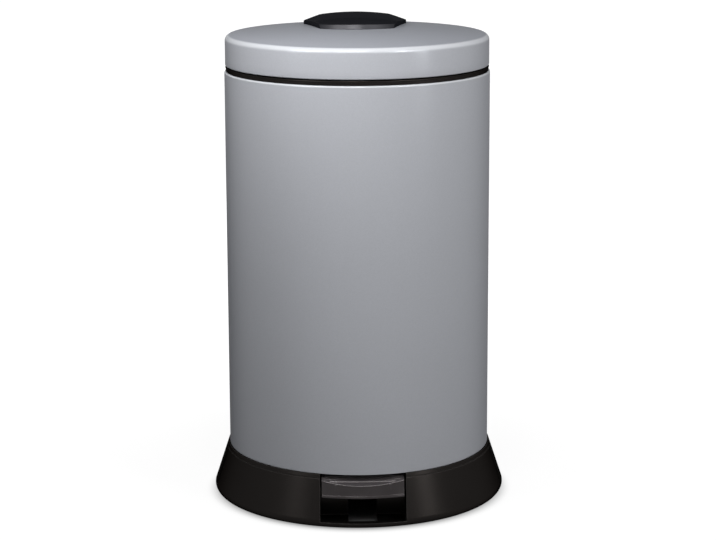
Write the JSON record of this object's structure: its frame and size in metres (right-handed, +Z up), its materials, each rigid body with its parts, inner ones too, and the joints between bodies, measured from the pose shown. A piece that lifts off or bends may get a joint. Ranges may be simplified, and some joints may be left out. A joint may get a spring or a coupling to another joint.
{
  "type": "pedal bin",
  "caption": "Round free-standing pedal bin with a painted steel body and hinged lid, plastic base with a foot pedal, lever and push rod, lid grip and lift-out bucket.",
  "frame": {"origin": "centre of the footprint on the floor, on the axis of the round body", "axes": "+Z up, -Y towards the pedal and the user, +Y towards the hinge, +X to the right seen from the front"},
  "size_m": [0.3356, 0.3358, 0.5469],
  "materials": {
    "silver_paint": "silver-grey metallic paint, satin",
    "black_plastic": "moulded, satin",
    "black_paint": "black powder coat",
    "charcoal_plastic": "moulded, fine grooves",
    "black_rubber": "matt",
    "zinc_steel": "zinc plated",
    "bright_steel": "drawn, bright",
    "natural_nylon": "moulded",
    "grey_plastic": "moulded, satin"
  },
  "bodies": {
    "body": {"body_shell": "silver_paint", "top_collar": "black_plastic", "lid_buffers": "black_rubber", "base_skirt": "black_plastic", "foot_pads": "black_rubber", "base_screws": "zinc_steel", "base_nuts": "zinc_steel", "pedal_bracket": "zinc_steel", "bracket_screws": "zinc_steel", "pedal_axle": "bright_steel", "axle_clips": "zinc_steel", "rod_guide_low": "natural_nylon", "rod_guide_top": "natural_nylon", "guide_screw": "zinc_steel", "hinge_housing": "black_plastic", "housing_screws": "zinc_steel", "hinge_pin": "bright_steel", "pin_caps": "zinc_steel"},
    "lid": {"lid_shell": "silver_paint", "lid_liner": "black_plastic", "lid_grip": "black_plastic", "grip_screws": "zinc_steel", "lid_hinge": "black_paint", "hinge_rivets": "zinc_steel", "crank_pin": "bright_steel"},
    "pedal": {"pedal_tread": "charcoal_plastic", "pedal_lever": "black_paint", "tread_screws": "zinc_steel", "lever_bush": "natural_nylon", "lever_pin": "bright_steel"},
    "push_rod": {"push_rod": "bright_steel", "rod_yoke": "natural_nylon", "rod_foot": "natural_nylon"},
    "bucket": {"bucket": "grey_plastic"},
    "bail": {"bucket_bail": "bright_steel", "bail_grip": "grey_plastic"}
  },
  "joints": [
    {"name": "lid_pivot", "type": "hinge", "parent": "body", "child": "lid", "pos_m": [0, 0.16, 0.487], "axis": [-1, 0, 0], "range_deg": [0, 75]},
    {"name": "pedal_pivot", "type": "hinge", "parent": "body", "child": "pedal", "pos_m": [0, -0.02, 0.0285], "axis": [1, 0, 0], "range_deg": [0, 9.6]},
    {"name": "rod_slide", "type": "slide", "parent": "body", "child": "push_rod", "axis": [0, 0, 1], "range_m": [0, 0.0268]},
    {"name": "bucket_lift", "type": "slide", "parent": "body", "child": "bucket", "axis": [0, 0, 1], "range_m": [0, 0.015]},
    {"name": "bail_pivot", "type": "hinge", "parent": "bucket", "child": "bail", "pos_m": [0, 0.005, 0.462], "axis": [-1, 0, 0], "range_deg": [0, 15]}
  ],
  "couplings": [
    {"joint": "pedal_pivot", "follows": "lid_pivot", "ratio": 0.12782},
    {"joint": "rod_slide", "follows": "lid_pivot", "m_per_rad": 0.020463}
  ]
}
